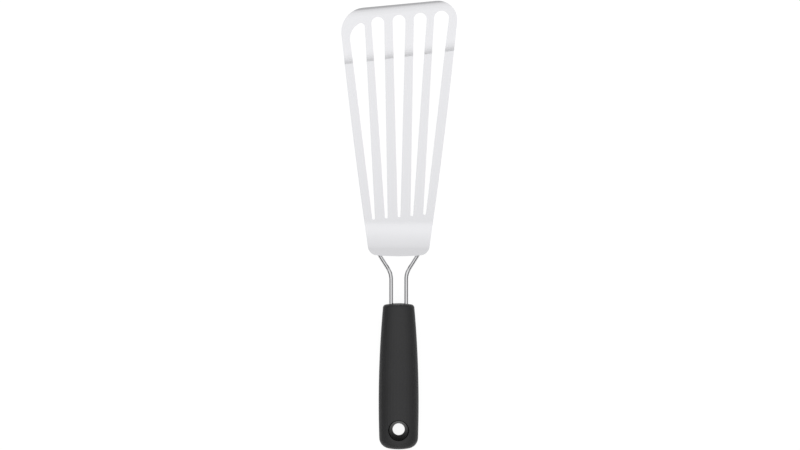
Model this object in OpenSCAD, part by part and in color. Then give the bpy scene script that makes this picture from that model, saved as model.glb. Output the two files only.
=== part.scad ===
// Slotted fish spatula with a springy stamped blade, a bent wire shank and a soft-grip handle.
// It lies as it rests on a table: on the bend of its two wires and on the back of its handle.
// X runs to the right, Y towards the leading edge of the blade, Z up.

/* [Blade] */
// Thickness of the sheet
sheet_t = 0.8; // [0.6:0.1:1.2]
// Width of the blade across its front corners
front_w = 84.6; // [78:0.2:94]
// Width of the blade across its rear corners
rear_w = 44.4; // [42:0.2:50]
// How far each long side bows outwards
side_bow = 1; // [0:0.1:3]
// Length of the flat pan of the blade, from the rear bend to the crease
pan_len = 122; // [100:1:140]
// Length in plan of the front flap, from the crease to the leading edge
flap_len = 39.8; // [32:0.2:50]
// Slant of the leading edge across the blade, in degrees
edge_slant = 5.5; // [0:0.5:10]
// Radius of the short front corner
short_corner_r = 18; // [12:0.5:20]
// Radius of the long front corner
long_corner_r = 14; // [10:0.5:16]
// Radius of the two rear corners
rear_corner_r = 7; // [3:0.5:9]
// How far the rear edge bows towards the handle
rear_bow = 1.2; // [0:0.1:2.5]
// Width of the bevel ground on the leading edge
bevel_w = 1.5; // [0.5:0.1:2.5]
// Angle of that bevel to the sheet, in degrees
bevel_angle = 18; // [8:1:20]

/* [Blade bends] */
// Slant of the crease across the blade, in degrees
crease_slant = 7; // [0:0.5:10]
// Radius of the tight crease
crease_r = 10; // [6:1:20]
// Turn of the tight crease, in degrees
crease_angle = 7; // [3:1:10]
// Radius of the soft sweep in front of the crease
sweep_r = 76; // [50:2:120]
// Turn of the soft sweep, in degrees
sweep_angle = 6; // [2:1:10]
// Radius of the rear bend
rear_bend_r = 37; // [30:1:45]
// Turn of the rear bend, in degrees
rear_bend = 32; // [26:1:36]
// Length of the flat tail behind the rear bend, along the sheet
tail_len = 5.4; // [5:0.2:9]

/* [Slots] */
// Distance between slot centre lines at their wide ends
slot_pitch_front = 15.5; // [14.6:0.1:16]
// Distance between slot centre lines at their narrow ends
slot_pitch_rear = 9.5; // [9:0.1:10]
// Width of the inner slots at their wide ends
inner_slot_w = 9.4; // [7:0.1:10]
// Width of the slot along the long side at its wide end
outer_slot_w = 10.8; // [8:0.1:11.5]
// Width of the slot along the short side at its wide end
corner_slot_w = 11.9; // [9:0.1:12.2]
// Width of every slot at its narrow end
slot_tip_w = 2; // [1.4:0.1:3]
// Width of the rim between the leading edge and the slots
rim_w = 7.7; // [6:0.1:10]
// Distance from the rear bend to the narrow ends of the slots
slot_start = 3.8; // [3:0.2:15]
// How far the slots sit to the right of the middle of the blade
slot_shift = 0.3; // [-0.4:0.1:0.5]
// Width of the rim across the short corner
corner_rim_w = 10; // [8:0.1:11]
// Direction of the slanted top of the corner slot, in degrees
corner_slot_dir = 40; // [35:1:45]
// Radius of the large round of the corner slot
corner_slot_big_r = 12; // [8:0.5:12.5]
// Radius of the small round of the corner slot
corner_slot_small_r = 2.8; // [1.5:0.1:3.5]

/* [Wire shank] */
// Diameter of the wire
wire_d = 3.3; // [2.8:0.1:4]
// Distance between the wire centres under the blade
leg_gauge = 29.7; // [28:0.1:32]
// Distance between the wire centres at the handle
neck_gauge = 11.2; // [10.4:0.1:12]
// Length of each leg under the flat pan
leg_flat = 4; // [3:0.5:12]
// Angle at which the wires run in from the blade, in degrees
splay_angle = 30.5; // [26:0.5:36]
// Distance from the rear bend to the corner of the splay
splay_start = 2.7; // [2.6:0.1:3.5]
// Centre-line radius of the splay bend
splay_r = 8.5; // [6:0.5:8.5]
// Centre-line radius of the bend where the wires turn parallel
neck_r = 12; // [8:0.5:14]
// Distance from that bend to the nose of the handle
neck_len = 22; // [16:0.5:30]
// Length of the wires inside the handle
embed_len = 60; // [40:1:70]
// Centre-line radius of the two corners of the closed end
loop_r = 5; // [4:0.1:5.1]
// Gap between wire and sheet that the welds fill
weld_gap = 0.1; // [0.05:0.05:0.3]

/* [Welds] */
// Length of one weld along the wire, in degrees of the rear bend
weld_arc = 7; // [4:0.5:9]
// Place of each weld round the rear bend, in degrees
weld_places = [4, 19];
// Width of the weld across the wire
weld_w = 3; // [2:0.1:3.2]

/* [Handle] */
// Length of the handle
handle_len = 108.6; // [96:0.2:124]
// Largest width of the handle
handle_w = 29.8; // [27:0.1:34]
// Largest thickness of the handle
handle_t = 18.4; // [17:0.1:21]
// Distance from the nose to the widest place
widest_at = 74; // [66:1:84]
// Radius of the long side of the handle in plan
handle_side_r = 788; // [600:4:1200]
// Radius of the domed nose
nose_dome_r = 50; // [30:1:80]
// Radius of the edge round the nose
nose_edge_r = 2.6; // [1.5:0.1:3.5]
// Radius of the domed butt
butt_dome_r = 40; // [20:1:60]
// Radius of the edge round the butt
butt_edge_r = 8; // [5:0.1:9]
// Angle between the handle and the flat pan, in degrees
handle_lift = 7.5; // [5:0.5:12]
// Thickness of the soft sleeve over the hard core
sleeve_wall = 2.6; // [1.5:0.1:3]
// Gap kept between moulded faces
bond_gap = 0.05; // [0.02:0.01:0.1]

/* [Hang hole] */
// Diameter of the throat
hole_d = 9; // [6:0.1:9.6]
// Length of the cylindrical throat
throat_len = 2.4; // [1.5:0.1:6]
// Distance from the butt end to the hole axis
hole_from_butt = 14.9; // [13:0.1:20]
// Diameter of the flared mouth on each face
mouth_d = 14.6; // [11:0.1:15]
// Width of the core's rim that shows round the mouth
collar_rim = 0.4; // [0.3:0.1:1]

/* [Hidden] */
$fn = 96;

// Straight steps in each long bowed edge and in each round of the handle's profile
side_steps = 8;
rear_steps = 6;
arc_steps = 14;
rear_bend_steps = 16;
crease_steps = 4;
sweep_steps = 6;
grip_steps = 14;
round_steps = 6;
dome_steps = 3;
// Least radius of the hidden core's edges
least_edge_r = 0.8;
// Sides of the wire's section, and steps in each of its bends
wire_sides = 24;
wire_steps = 8;
// Sides of the handle's section
grip_sides = 40;
// Reach of the cutting shapes past the object
far = 60;

function unit(v) = v / norm(v);
function heading(a) = [cos(a), sin(a)];
function along(v) = atan2(v[1], v[0]);
function mirrored(p) = [-p[0], p[1], p[2]];
function turn2(a, b) = a[0] * b[1] - a[1] * b[0];

// Where the line through p along u crosses the line through q along v
function meet(p, u, q, v) = p + u * turn2(q - p, v) / turn2(u, v);

// A round of radius r in the corner q between p and s: its tangent points and its centre
function half_angle(p, q, s) = acos(unit(p - q) * unit(s - q)) / 2;
function round_in(p, q, s, r) = q + unit(p - q) * r / tan(half_angle(p, q, s));
function round_out(p, q, s, r) = q + unit(s - q) * r / tan(half_angle(p, q, s));
function round_mid(p, q, s, r) = q + unit(unit(p - q) + unit(s - q)) * r / sin(half_angle(p, q, s));

// Points of an arc about c from direction a to direction b
function arc_points(c, r, a, b, n) = [for (i = [0:n]) c + r * heading(a + (b - a) * i / n)];
// A round in a corner as points, and a closed outline whose corners are given as [x, y, radius]
function turned(a, b) = a + (b - a + 540) % 360 - 180;
function round_points(p, q, s, r) =
    let (c = round_mid(p, q, s, r), a = along(round_in(p, q, s, r) - c), b = along(round_out(p, q, s, r) - c))
    arc_points(c, r, a, turned(a, b), arc_steps);
function rounded(corners) =
    let (n = len(corners), xy = [for (c = corners) [c[0], c[1]]])
    [for (i = [0:n - 1]) each corners[i][2] == 0 ? [xy[i]]
        : round_points(xy[(i + n - 1) % n], xy[i], xy[(i + 1) % n], corners[i][2])];
// Outline of a slot with a round tip and a round head of different radii
function tapered(tip, tip_r, head, head_r) =
    let (d = along(head - tip), k = acos((tip_r - head_r) / norm(head - tip)))
    concat(arc_points(tip, tip_r, d + k, d + 360 - k, arc_steps),
        arc_points(head, head_r, d - k, d + k, arc_steps));

// Plan outline of the blade: points with the radius of their corner
rear_y = -rear_bend_r * sin(rear_bend) - tail_len * cos(rear_bend);
edge_mid = [0, pan_len + flap_len];
shoulder_y = edge_mid[1] - short_corner_r;
function side_x(y) =
    let (s = (y - rear_y) / (shoulder_y - rear_y))
    rear_w / 2 + (front_w - rear_w) / 2 * s + 4 * side_bow * s * (1 - s);
function edge_y(x) = edge_mid[1] + x * tan(edge_slant);
function rear_edge_y(x) = rear_y + rear_bow * pow(2 * x / rear_w, 2);
short_vertex = [-side_x(edge_y(-front_w / 2)), edge_y(-front_w / 2)];
long_vertex = [side_x(edge_y(front_w / 2)), edge_y(front_w / 2)];
rear_vertex = [rear_w / 2, rear_edge_y(rear_w / 2)];
side_ys = [for (i = [1:side_steps - 1])
    rear_vertex[1] + (short_vertex[1] - rear_vertex[1]) * i / side_steps];
rear_xs = [for (i = [1:rear_steps - 1]) rear_w * (0.5 - i / rear_steps)];
outline = concat(
    [[-rear_vertex[0], rear_vertex[1], rear_corner_r]],
    [for (i = [0:side_steps - 2]) [-side_x(side_ys[i]), side_ys[i], 0]],
    [[short_vertex[0], short_vertex[1], short_corner_r]],
    [[long_vertex[0], long_vertex[1], long_corner_r]],
    [for (i = [side_steps - 2:-1:0]) [side_x(side_ys[i]), side_ys[i], 0]],
    [[rear_vertex[0], rear_vertex[1], rear_corner_r]],
    [for (x = rear_xs) [x, rear_edge_y(x), 0]]
);

// A slot runs from the centre of its round tip to the centre of its round wide end
function slot_tip(i) =
    let (x = i * slot_pitch_rear)
    [x + slot_shift, slot_start + slot_tip_w / 2 + x * tan(edge_slant)];
function slot_head(i, w) =
    let (x = i * slot_pitch_front + slot_shift)
    [x, edge_y(x) - (rim_w + w / 2) / cos(edge_slant)];
// Tangent point on side s (1 or -1) of the circle of radius r, of a belt round two circles
function belt_point(a, ra, b, rb, s, at_b) =
    let (n = heading(along(b - a) + s * acos((ra - rb) / norm(b - a))))
    at_b ? b + rb * n : a + ra * n;

// The corner slot has a slanted top that follows the short corner
corner_tip = slot_tip(-2);
corner_head = slot_head(-2, corner_slot_w);
corner_mid = round_mid([outline[side_steps - 1][0], outline[side_steps - 1][1]],
    short_vertex, long_vertex, short_corner_r);
slant_dir = heading(corner_slot_dir);
slant_point = corner_mid + (short_corner_r - corner_rim_w) * heading(corner_slot_dir + 90);
corner_sides = [for (s = [1, -1])
    [for (at_b = [false, true])
        belt_point(corner_tip, slot_tip_w / 2, corner_head, corner_slot_w / 2, s, at_b)]];
corner_left = meet(corner_sides[0][0], corner_sides[0][1] - corner_sides[0][0], slant_point, slant_dir);
corner_right = meet(corner_sides[1][0], corner_sides[1][1] - corner_sides[1][0], slant_point, slant_dir);
corner_tip_dir = along(corner_head - corner_tip);
corner_tip_turn = acos((slot_tip_w - corner_slot_w) / 2 / norm(corner_head - corner_tip));
corner_slot = concat(
    arc_points(corner_tip, slot_tip_w / 2, corner_tip_dir + corner_tip_turn,
        corner_tip_dir + 360 - corner_tip_turn, arc_steps),
    round_points(corner_sides[1][0], corner_right, corner_left, corner_slot_small_r),
    round_points(corner_right, corner_left, corner_sides[0][0], corner_slot_big_r)
);

// Where the flap starts in front of the bends, and its leading edge in its own plane
flap_tilt = crease_angle + sweep_angle;
bends_run = crease_r * sin(crease_angle) + sweep_r * (sin(flap_tilt) - sin(crease_angle));
flap_edge = [
    flap_len * sin(crease_slant),
    (flap_len * cos(crease_slant) - bends_run) / cos(flap_tilt) + sheet_t / 2 * tan(flap_tilt)
];
edge_turn = edge_slant - crease_slant;
flap_edge_dir = atan2(sin(edge_turn) / cos(flap_tilt), cos(edge_turn));

// Middle line of the sheet in side view: the rear part from the handle's end, the front part from the crease
split_y = pan_len / 2;
rear_line = concat(
    [for (i = [0:rear_bend_steps]) let (a = rear_bend * (1 - i / rear_bend_steps))
        [-rear_bend_r * sin(a) - (i == 0 ? far * cos(a) : 0),
            rear_bend_r * (1 - cos(a)) + (i == 0 ? far * sin(a) : 0), -a]],
    [[pan_len, 0, 0]]
);
sweep_mid = [(crease_r - sweep_r) * sin(crease_angle), crease_r + (sweep_r - crease_r) * cos(crease_angle)];
front_line = concat(
    [[-pan_len, 0, 0]],
    [for (i = [0:crease_steps]) let (a = crease_angle * i / crease_steps)
        [crease_r * sin(a), crease_r * (1 - cos(a)), a]],
    [for (i = [1:sweep_steps]) let (a = crease_angle + sweep_angle * i / sweep_steps)
        [sweep_mid[0] + sweep_r * sin(a), sweep_mid[1] - sweep_r * cos(a), a]],
    [[sweep_mid[0] + sweep_r * sin(flap_tilt) + far * cos(flap_tilt),
        sweep_mid[1] - sweep_r * cos(flap_tilt) + far * sin(flap_tilt), flap_tilt]]
);

// Centre line of the wire: corners of one leg from its end under the blade to the closed end
wire_drop = sheet_t / 2 + weld_gap + wire_d / 2;
leg_r = rear_bend_r + wire_drop;
tail_dir = [0, -cos(rear_bend), sin(rear_bend)];
handle_dir = [0, -cos(handle_lift), sin(handle_lift)];
splay_dir = tail_dir * cos(splay_angle) + [-sin(splay_angle), 0, 0];
leg_end = [leg_gauge / 2, leg_flat, -wire_drop];
leg_corner = [leg_gauge / 2, -leg_r * tan(rear_bend / 2), -wire_drop];
splay_corner = leg_corner + tail_dir * (leg_r * tan(rear_bend / 2) + splay_start);
neck_corner = splay_corner + splay_dir * (leg_gauge - neck_gauge) / 2 / sin(splay_angle);
loop_corner = neck_corner + handle_dir * (neck_len + embed_len);
leg = [leg_end, leg_corner, splay_corner, neck_corner, loop_corner];
leg_radii = [0, leg_r, splay_r, neck_r, loop_r];
last = len(leg) - 1;
wire_path = concat(leg, [for (i = [last:-1:0]) mirrored(leg[i])]);
wire_radii = concat(leg_radii, [for (i = [last:-1:0]) leg_radii[i]]);
nose = [0, neck_corner[1], neck_corner[2]] + handle_dir * neck_len;

// Profile of the handle: arcs of its side, domes and edges, set in by a wall
function crossing(a, ra, b, rb, side) =
    let (d = norm(b - a), x = (d * d + ra * ra - rb * rb) / (2 * d), u = unit(b - a))
    a + x * u + side * sqrt(ra * ra - x * x) * [u[1], -u[0]];
side_mid = [handle_w / 2 - handle_side_r, -widest_at];
nose_mid = [0, -nose_dome_r];
butt_mid = [0, butt_dome_r - handle_len];
function part_arc(c, r, a, b, n) = [for (i = [1:n]) c + r * heading(a + (b - a) * i / n)];
function grip_profile(wall) =
    let (dome = nose_dome_r - wall, side = handle_side_r - wall, butt = butt_dome_r - wall,
        nose_r = max(nose_edge_r - wall, least_edge_r), butt_r = max(butt_edge_r - wall, least_edge_r),
        nose_edge = crossing(nose_mid, dome - nose_r, side_mid, side - nose_r, 1),
        butt_edge = crossing(butt_mid, butt - butt_r, side_mid, side - butt_r, -1),
        nose_end = along(nose_edge - nose_mid), nose_side = along(nose_edge - side_mid),
        butt_side = along(butt_edge - side_mid), butt_end = along(butt_edge - butt_mid))
    concat(
        part_arc(nose_mid, dome, 90, nose_end, dome_steps),
        part_arc(nose_edge, nose_r, nose_end, nose_side, round_steps),
        part_arc(side_mid, side, nose_side, butt_side, grip_steps),
        part_arc(butt_edge, butt_r, butt_side, butt_end, round_steps),
        [for (i = [1:dome_steps])
            butt_mid + butt * heading(butt_end - (butt_end + 90) * i / (dome_steps + 1))]
    );
hole_at = handle_len - hole_from_butt;
mouth_slope = (mouth_d - hole_d) / (handle_t - throat_len);
mouth_reach = handle_t / 2 + 2;

// Tilt about X at which the wires' bend and the handle's back both touch the table
function handle_point(p) = [nose[1], nose[2]] + [
    p[1] * cos(handle_lift) - p[0] * handle_t / handle_w * sin(handle_lift),
    -p[1] * sin(handle_lift) - p[0] * handle_t / handle_w * cos(handle_lift)];
heel_r = leg_r + wire_d / 2;
heel_mid = [0, rear_bend_r];
function tilt_to(v) = 180 + asin(heel_r / norm(v)) - (along(v) + 360) % 360;
rest_tilt = min([for (p = grip_profile(0)) tilt_to(handle_point(p) - heel_mid)]);
function rested(v) = [
    v[0] * cos(rest_tilt) - v[1] * sin(rest_tilt),
    v[0] * sin(rest_tilt) + v[1] * cos(rest_tilt)];
tip_reach = long_vertex[1] - long_corner_r - pan_len;
flap_top_z = tip_reach * tan(flap_tilt);
tip_y = rested([long_vertex[1] - 1, flap_top_z])[0];
butt_y = rested(handle_point([0, -handle_len]))[0];
rest_shift = [0, -(tip_y + butt_y) / 2, heel_r - rested(heel_mid)[1]];

module blade_plan() {
    difference() {
        polygon(rounded(outline));
        polygon(corner_slot);
        for (i = [-1:1]) {
            polygon(tapered(slot_tip(i), slot_tip_w / 2, slot_head(i, inner_slot_w), inner_slot_w / 2));
        }
        polygon(tapered(slot_tip(2), slot_tip_w / 2, slot_head(2, outer_slot_w), outer_slot_w / 2));
    }
}

// A bend of the sheet upwards along +Y, with what follows it placed at its end
module past_bend(r, angle) {
    translate([0, r * sin(angle), r * (1 - cos(angle))]) rotate([angle, 0, 0]) children();
}

module at_crease() {
    translate([0, pan_len, 0]) rotate([0, 0, crease_slant]) children();
}

module at_flap() {
    at_crease() past_bend(crease_r, crease_angle) past_bend(sweep_r, sweep_angle) children();
}

// The sheet's side view as a closed outline: places on its middle line as [along, up, slope]
function sheet_outline(line) = concat(
    [for (p = line) [p[0] - sheet_t / 2 * sin(p[2]), p[1] + sheet_t / 2 * cos(p[2])]],
    [for (i = [len(line) - 1:-1:0]) let (p = line[i])
        [p[0] + sheet_t / 2 * sin(p[2]), p[1] - sheet_t / 2 * cos(p[2])]]
);

module sheet_across(line) {
    rotate([90, 0, 90]) linear_extrude(height = 4 * far, center = true) polygon(sheet_outline(line));
}

// The part of the blade's plan on one side of a line across the pan, as a tall block
module plan_block(front) {
    translate([0, 0, -far]) linear_extrude(height = 2 * far) intersection() {
        blade_plan();
        translate([-far, front ? split_y : split_y - 4 * far]) square([2 * far, 4 * far]);
    }
}

module bent_sheet() {
    intersection() {
        sheet_across(rear_line);
        plan_block(false);
    }
    intersection() {
        at_crease() sheet_across(front_line);
        plan_block(true);
    }
}

module edge_bevel() {
    at_flap() translate([flap_edge[0], flap_edge[1], sheet_t / 2]) rotate([0, 0, flap_edge_dir])
        translate([-far, -bevel_w, 0]) rotate([-bevel_angle, 0, 0]) cube([2 * far, 4 * bevel_w, sheet_t]);
}

// The wire's centre line as places and directions, with each corner rounded in small steps
function corner_places(i) =
    let (p = wire_path[i - 1], q = wire_path[i], s = wire_path[i + 1], r = wire_radii[i],
        mid = round_mid(p, q, s, r), x = unit(round_in(p, q, s, r) - mid),
        z = unit(cross(x, round_out(p, q, s, r) - mid)), y = cross(z, x),
        turn = 180 - 2 * half_angle(p, q, s))
    [for (k = [0:wire_steps]) let (a = turn * k / wire_steps)
        [mid + r * (cos(a) * x + sin(a) * y), cos(a) * y - sin(a) * x]];
wire_end = len(wire_path) - 1;
wire_line = concat(
    [[wire_path[0], unit(wire_path[1] - wire_path[0])]],
    [for (i = [1:wire_end - 1]) each corner_places(i)],
    [[wire_path[wire_end], unit(wire_path[wire_end] - wire_path[wire_end - 1])]]
);

// The wire as round rings along that line, closed at both ends
module bent_wire(d) {
    n = len(wire_line);
    points = [for (place = wire_line)
        let (side = unit(cross(place[1], [0, 0, 1])), up = cross(side, place[1]))
        for (k = [0:wire_sides - 1]) let (a = 360 * k / wire_sides)
            place[0] + d / 2 * (cos(a) * side + sin(a) * up)];
    function at(i, k) = i * wire_sides + k % wire_sides;
    polyhedron(points, concat(
        [[for (k = [wire_sides - 1:-1:0]) at(0, k)]],
        [for (i = [0:n - 2], k = [0:wire_sides - 1]) each [
            [at(i, k), at(i, k + 1), at(i + 1, k + 1)],
            [at(i, k), at(i + 1, k + 1), at(i + 1, k)]]],
        [[for (k = [0:wire_sides - 1]) at(n - 1, k)]]
    ));
}

// One weld: a round bead on the sheet, hollowed by the wire
module weld_bead(x, place) {
    translate([0, 0, rear_bend_r]) rotate([180, 90, 0]) rotate([0, 0, place])
        rotate_extrude(angle = weld_arc) translate([rear_bend_r + sheet_t / 2, -x]) difference() {
            intersection() {
                circle(d = weld_w);
                translate([0, -weld_w]) square([weld_w, 2 * weld_w]);
            }
            translate([weld_gap + wire_d / 2, 0]) circle(d = wire_d);
        }
}

module in_handle() {
    translate(nose) rotate([-handle_lift, 0, 0]) children();
}

// The handle's form, set in by a wall all round: oval rings along its profile, closed at both ends
module grip_form(wall) {
    profile = grip_profile(wall);
    flatness = (handle_t - 2 * wall) / (handle_w - 2 * wall);
    rings = len(profile);
    points = [for (p = profile, k = [0:grip_sides - 1])
        let (a = (k + 0.5) * 360 / grip_sides) [p[0] * cos(a), p[1], p[0] * sin(a) * flatness]];
    ends = [[0, -wall, 0], [0, wall - handle_len, 0]];
    function at(i, k) = i * grip_sides + k % grip_sides;
    in_handle() polyhedron(concat(points, ends), concat(
        [for (k = [0:grip_sides - 1]) [rings * grip_sides, at(0, k), at(0, k + 1)]],
        [for (i = [0:rings - 2], k = [0:grip_sides - 1])
            [at(i, k), at(i + 1, k), at(i + 1, k + 1), at(i, k + 1)]],
        [for (k = [0:grip_sides - 1]) [rings * grip_sides + 1, at(rings - 1, k + 1), at(rings - 1, k)]]
    ));
}

module hang_hole() {
    in_handle() translate([0, -hole_at, 0]) {
        cylinder(d = hole_d, h = throat_len, center = true);
        for (side = [0, 1]) {
            mirror([0, 0, side]) translate([0, 0, throat_len / 2])
                cylinder(d1 = hole_d, d2 = hole_d + mouth_slope * (2 * mouth_reach - throat_len),
                    h = mouth_reach - throat_len / 2);
        }
    }
}

// The round boss by which the core reaches the surface round the hang hole
module collar(gap) {
    in_handle() translate([0, -hole_at, 0])
        cylinder(d = mouth_d + 2 * collar_rim + 2 * gap, h = 2 * mouth_reach, center = true);
}

module at_rest() {
    translate(rest_shift) rotate([rest_tilt, 0, 0]) children();
}

module blade() {
    color([0.82, 0.83, 0.84]) at_rest() difference() {
        intersection() {
            bent_sheet();
            translate([0, 0, -far]) linear_extrude(height = 2 * far) blade_plan();
        }
        edge_bevel();
    }
}

module shank_wire() {
    color([0.75, 0.76, 0.78]) at_rest() bent_wire(wire_d);
}

module weld_beads() {
    color([0.6, 0.6, 0.62]) at_rest() for (side = [-1, 1], place = weld_places) {
        weld_bead(side * leg_gauge / 2, place);
    }
}

module handle_core() {
    color([0.08, 0.08, 0.085]) at_rest() difference() {
        union() {
            grip_form(sleeve_wall + bond_gap);
            intersection() {
                grip_form(0);
                collar(0);
            }
        }
        bent_wire(wire_d + 2 * bond_gap);
        hang_hole();
    }
}

module grip_sleeve() {
    color([0.13, 0.13, 0.14]) at_rest() difference() {
        grip_form(0);
        grip_form(sleeve_wall);
        bent_wire(wire_d + 2 * bond_gap);
        collar(bond_gap);
    }
}

blade();
shank_wire();
weld_beads();
handle_core();
grip_sleeve();
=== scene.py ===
"""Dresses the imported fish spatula: satin blade, polished wire shank and soft dark grip on a pale floor.

Everything is in metres in the CAD frame: X right, Y towards the leading edge, Z up, table at z = 0.
"""
import math

import bpy
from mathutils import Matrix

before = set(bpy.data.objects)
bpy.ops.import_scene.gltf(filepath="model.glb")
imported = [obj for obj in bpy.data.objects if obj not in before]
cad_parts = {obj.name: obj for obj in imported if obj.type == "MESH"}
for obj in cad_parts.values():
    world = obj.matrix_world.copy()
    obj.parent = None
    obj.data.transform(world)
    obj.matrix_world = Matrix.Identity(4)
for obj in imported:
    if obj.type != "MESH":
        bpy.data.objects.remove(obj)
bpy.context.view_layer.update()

# Camera: straight down, with the whole tool in a landscape frame
CAMERA_AT = (0.0010, 0.00135, 1.400)
LENS_MM = 84.27
SENSOR_MM = 36.0

# Colours are linear
BLADE_COLOR = (0.80, 0.80, 0.82)
WIRE_COLOR = (0.74, 0.74, 0.75)
WELD_COLOR = (0.42, 0.40, 0.38)
CORE_COLOR = (0.006, 0.006, 0.0065)
GRIP_COLOR = (0.043, 0.043, 0.0445)
FLOOR_ALBEDO = 0.20
FLOOR_LIFT = 0.91
FLOOR_HALF = 40.0

# Sky by height above the horizon (0 to 1) and its brightness
SKY_STOPS = (
    (0.0, 0.60), (0.38, 0.62), (0.48, 0.78), (0.60, 0.97),
    (0.72, 1.11), (0.85, 1.08), (0.95, 1.05), (1.0, 1.06),
)
# A dim strip between two softboxes, towards the handle: its centre and half width as y/z of the direction
STRIP_CENTRE = -0.47
STRIP_HALF = 0.10
STRIP_LEVEL = 0.15
# How much dimmer the side away from the handle is
FAR_SIDE_DIM = 0.22
# The overhead field is long in Y: it fades between these values of |x|/z of the direction, to this level
SIDE_FADE = (0.55, 1.10)
SIDE_LEVEL = 0.16

# The ground leading edge on the table's plan: its place at x = 0, its slope, and a painted shade by
# distance from it, a darker band in the blade's base colour where the edge turns from the light
EDGE_Y = 0.16188
EDGE_SLOPE = 0.096
EDGE_REACH = 0.008
PAINTED_EDGE_SHADE_STOPS = ((0.0, 0.50), (0.12, 0.50), (0.24, 0.80), (0.42, 0.93), (0.80, 1.0))

# Edges up to this angle are shaded smooth
SMOOTH_ANGLE = math.radians(15.0)


class Graph:
    """A small helper that adds nodes to a tree and links them."""

    def __init__(self, tree):
        self.tree = tree

    def add(self, kind, **settings):
        node = self.tree.nodes.new(kind)
        for key, value in settings.items():
            if key.startswith("in_"):
                node.inputs[key[3:].replace("_", " ")].default_value = value
            else:
                setattr(node, key, value)
        return node

    def link(self, source, target):
        self.tree.links.new(source, target)

    def math(self, operation, a, b=None, clamp=False):
        """A Math node on sockets or numbers, as its output socket."""
        node = self.add("ShaderNodeMath", operation=operation, use_clamp=clamp)
        for socket, value in zip(node.inputs, (a, b)):
            if value is None:
                continue
            if isinstance(value, bpy.types.NodeSocket):
                self.link(value, socket)
            else:
                socket.default_value = value
        return node.outputs[0]

    def ramp(self, source, stops):
        """A grey colour ramp from (place, level) stops, as its output socket."""
        node = self.add("ShaderNodeValToRGB")
        elements = node.color_ramp.elements
        while len(elements) < len(stops):
            elements.new(0.5)
        for element, (place, level) in zip(elements, stops):
            element.position = place
            element.color = (level, level, level, 1.0)
        self.link(source, node.inputs["Fac"])
        return node.outputs["Color"]

    def noise(self, scale, stretch=(1.0, 1.0, 1.0), detail=2.0):
        """Noise in object coordinates, drawn out along an axis with a small factor: its output socket."""
        place = self.add("ShaderNodeTexCoord")
        sized = self.add("ShaderNodeMapping")
        sized.inputs["Scale"].default_value = stretch
        grain = self.add("ShaderNodeTexNoise", in_Scale=scale, in_Detail=detail)
        self.link(place.outputs["Object"], sized.inputs["Vector"])
        self.link(sized.outputs["Vector"], grain.inputs["Vector"])
        return grain.outputs["Fac"]


def new_material(name):
    """An empty material with a Principled shader: its graph, and the shader."""
    material = bpy.data.materials.new(name)
    material.use_nodes = True
    graph = Graph(material.node_tree)
    shader = material.node_tree.nodes["Principled BSDF"]
    return material, graph, shader


def tint(graph, shader, color, factor, low, high, shade=1.0):
    """Varies a base colour by a factor between low and high times its value, and by a shade."""
    level = graph.add("ShaderNodeMapRange", in_To_Min=low, in_To_Max=high)
    graph.link(factor, level.inputs["Value"])
    scale = graph.add("ShaderNodeVectorMath", operation="SCALE")
    scale.inputs[0].default_value = color
    graph.link(graph.math("MULTIPLY", level.outputs["Result"], shade), scale.inputs["Scale"])
    graph.link(scale.outputs["Vector"], shader.inputs["Base Color"])


def spread(graph, factor, low, high, target):
    """Sends a factor, mapped to low..high, to a socket."""
    level = graph.add("ShaderNodeMapRange", in_To_Min=low, in_To_Max=high)
    graph.link(factor, level.inputs["Value"])
    graph.link(level.outputs["Result"], target)


def bump(graph, shader, height, distance, strength):
    node = graph.add("ShaderNodeBump", in_Strength=strength, in_Distance=distance)
    graph.link(height, node.inputs["Height"])
    graph.link(node.outputs["Normal"], shader.inputs["Normal"])


def painted_edge_shade(graph):
    """A painted shade by the distance from the leading edge: a darker band in the base colour that stands
    in for the shade where the edge turns away from the light.
    """
    place = graph.add("ShaderNodeTexCoord")
    axes = graph.add("ShaderNodeSeparateXYZ")
    graph.link(place.outputs["Object"], axes.inputs["Vector"])
    edge = graph.math("ADD", graph.math("MULTIPLY", axes.outputs["X"], EDGE_SLOPE), EDGE_Y)
    distance = graph.math("DIVIDE", graph.math("SUBTRACT", edge, axes.outputs["Y"]), EDGE_REACH)
    return graph.ramp(distance, PAINTED_EDGE_SHADE_STOPS)


def steel(name, color, roughness, variation, brush, brush_depth, shading=None):
    """Steel with cloudy gloss, faint smears and fine brush lines along one axis, and an optional painted
    shade multiplied into its base colour.
    """
    material, graph, shader = new_material(name)
    shader.inputs["Metallic"].default_value = 1.0
    clouds = graph.noise(26.0, detail=3.0)
    lines = graph.noise(900.0, stretch=brush, detail=2.0)
    mixed = graph.math("MULTIPLY", graph.math("ADD", lines, clouds), 0.5)
    tint(graph, shader, color, mixed, 0.965, 1.035, shading(graph) if shading else 1.0)
    spread(graph, mixed, roughness - variation, roughness + variation, shader.inputs["Roughness"])
    bump(graph, shader, lines, brush_depth, 0.35)
    return material


def grip_rubber():
    """Soft-touch rubber: a fine moulded grain, cloudy gloss and slight changes of tone."""
    material, graph, shader = new_material("soft_grip")
    shader.inputs["Specular IOR Level"].default_value = 0.28
    grain = graph.noise(2600.0, detail=1.0)
    clouds = graph.noise(45.0, detail=3.0)
    tint(graph, shader, GRIP_COLOR, clouds, 0.88, 1.14)
    spread(graph, clouds, 0.40, 0.50, shader.inputs["Roughness"])
    bump(graph, shader, grain, 0.00006, 0.5)
    return material


def core_plastic():
    """Hard glossy plastic with faint flow marks."""
    material, graph, shader = new_material("core_plastic")
    shader.inputs["Specular IOR Level"].default_value = 0.05
    flow = graph.noise(160.0, stretch=(1.0, 0.25, 1.0))
    tint(graph, shader, CORE_COLOR, flow, 0.85, 1.15)
    spread(graph, flow, 0.24, 0.34, shader.inputs["Roughness"])
    bump(graph, shader, flow, 0.0001, 0.2)
    return material


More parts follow.
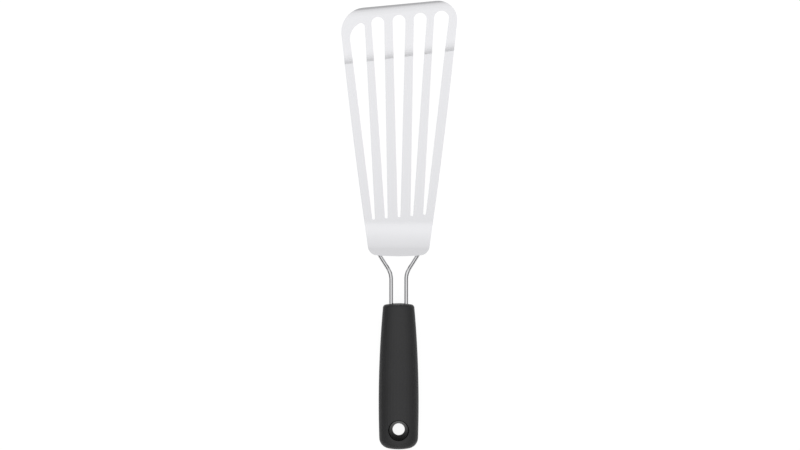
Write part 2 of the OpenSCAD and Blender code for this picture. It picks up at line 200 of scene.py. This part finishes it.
def weld_metal():
    """Dull heat-tinted weld with a rippled surface."""
    material, graph, shader = new_material("weld_steel")
    shader.inputs["Metallic"].default_value = 1.0
    ripple = graph.noise(1400.0, stretch=(0.5, 1.6, 1.0), detail=2.0)
    tint(graph, shader, WELD_COLOR, ripple, 0.75, 1.25)
    spread(graph, ripple, 0.40, 0.60, shader.inputs["Roughness"])
    bump(graph, shader, ripple, 0.0002, 0.6)
    return material


def smooth_group():
    """Geometry nodes that shade a CAD solid smooth, except along its real edges."""
    tree = bpy.data.node_groups.new("smooth_by_angle", "GeometryNodeTree")
    tree.interface.new_socket("Geometry", in_out="INPUT", socket_type="NodeSocketGeometry")
    tree.interface.new_socket("Geometry", in_out="OUTPUT", socket_type="NodeSocketGeometry")
    graph = Graph(tree)
    start, end = graph.add("NodeGroupInput"), graph.add("NodeGroupOutput")
    faces = graph.add("GeometryNodeSetShadeSmooth", domain="FACE")
    edges = graph.add("GeometryNodeSetShadeSmooth", domain="EDGE")
    angle = graph.add("GeometryNodeInputMeshEdgeAngle")
    small = graph.add("FunctionNodeCompare", data_type="FLOAT", operation="LESS_THAN")
    small.inputs["B"].default_value = SMOOTH_ANGLE
    graph.link(angle.outputs["Unsigned Angle"], small.inputs["A"])
    graph.link(start.outputs["Geometry"], faces.inputs["Geometry"])
    graph.link(faces.outputs["Geometry"], edges.inputs["Geometry"])
    graph.link(small.outputs["Result"], edges.inputs["Shade Smooth"])
    graph.link(edges.outputs["Geometry"], end.inputs["Geometry"])
    return tree


def dress(name, material, smoother):
    """Gives a CAD node its material, smooth shading and normals that favour its large faces."""
    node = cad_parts[name]
    for holder in node.material_slots:
        holder.material = material
    node.modifiers.new("smooth", "NODES").node_group = smoother
    weighted = node.modifiers.new("weighted", "WEIGHTED_NORMAL")
    weighted.keep_sharp = True
    weighted.weight = 70


def build_floor():
    """A wide pale floor: soft shadows stay, and the camera sees it near white."""
    corners = [(x * FLOOR_HALF, y * FLOOR_HALF, 0.0) for x, y in ((-1, -1), (1, -1), (1, 1), (-1, 1))]
    mesh = bpy.data.meshes.new("floor")
    mesh.from_pydata(corners, [], [(0, 1, 2, 3)])
    floor = bpy.data.objects.new("floor", mesh)
    bpy.context.scene.collection.objects.link(floor)
    material, graph, shader = new_material("floor")
    shader.inputs["Base Color"].default_value = (FLOOR_ALBEDO, FLOOR_ALBEDO, FLOOR_ALBEDO, 1.0)
    shader.inputs["Roughness"].default_value = 1.0
    shader.inputs["Specular IOR Level"].default_value = 0.0
    shader.inputs["Emission Color"].default_value = (1.0, 1.0, 1.0, 1.0)
    path = graph.add("ShaderNodeLightPath")
    seen = graph.math("ADD", path.outputs["Is Camera Ray"], path.outputs["Is Glossy Ray"])
    seen = graph.math("ADD", seen, path.outputs["Is Transmission Ray"], clamp=True)
    graph.link(graph.math("MULTIPLY", seen, FLOOR_LIFT), shader.inputs["Emission Strength"])
    mesh.materials.append(material)


def build_sky():
    """A soft overhead field that darkens to the horizon, with one dim strip between two softboxes."""
    world = bpy.data.worlds.new("studio")
    world.use_nodes = True
    bpy.context.scene.world = world
    graph = Graph(world.node_tree)
    ray = graph.add("ShaderNodeTexCoord")
    axes = graph.add("ShaderNodeSeparateXYZ")
    graph.link(ray.outputs["Generated"], axes.inputs["Vector"])
    height = graph.math("MAXIMUM", axes.outputs["Z"], 0.001)
    field = graph.ramp(height, SKY_STOPS)
    slope = graph.math("DIVIDE", axes.outputs["Y"], height)
    off = graph.math("ABSOLUTE", graph.math("SUBTRACT", slope, STRIP_CENTRE))
    off = graph.math("DIVIDE", off, STRIP_HALF)
    inside = graph.math("SMOOTH_MIN", off, 1.0)
    inside.node.inputs[2].default_value = 0.4
    level = graph.math("ADD", graph.math("MULTIPLY", inside, 1.0 - STRIP_LEVEL), STRIP_LEVEL)
    side = graph.math("DIVIDE", graph.math("ABSOLUTE", axes.outputs["X"]), height)
    fade = graph.add("ShaderNodeMapRange", interpolation_type="SMOOTHSTEP")
    fade.inputs["To Min"].default_value, fade.inputs["To Max"].default_value = 1.0, SIDE_LEVEL
    fade.inputs["From Min"].default_value, fade.inputs["From Max"].default_value = SIDE_FADE
    graph.link(side, fade.inputs["Value"])
    far_side = graph.math("MULTIPLY", graph.math("MAXIMUM", slope, 0.0), -FAR_SIDE_DIM)
    level = graph.math("ADD", level, graph.math("MAXIMUM", far_side, -FAR_SIDE_DIM))
    back = world.node_tree.nodes["Background"]
    graph.link(field, back.inputs["Color"])
    graph.link(graph.math("MULTIPLY", level, fade.outputs["Result"]), back.inputs["Strength"])


def build_camera():
    data = bpy.data.cameras.new("camera")
    data.lens = LENS_MM
    data.sensor_width = SENSOR_MM
    data.clip_end = 100.0
    camera = bpy.data.objects.new("camera", data)
    camera.location = CAMERA_AT
    bpy.context.scene.collection.objects.link(camera)
    bpy.context.scene.camera = camera


smoother = smooth_group()
# The blade's base colour carries a painted shade: a darker band along the leading edge.
satin = steel("blade_steel", BLADE_COLOR, 0.21, 0.03, (1.0, 0.03, 1.0), 0.00003, painted_edge_shade)
polished = steel("wire_steel", WIRE_COLOR, 0.06, 0.015, (1.0, 0.05, 1.0), 0.000005)
dress("blade", satin, smoother)
dress("shank_wire", polished, smoother)
dress("weld_beads", weld_metal(), smoother)
dress("handle_core", core_plastic(), smoother)
dress("grip_sleeve", grip_rubber(), smoother)
build_floor()
build_sky()
build_camera()
bpy.context.scene.view_settings.view_transform = "Standard"
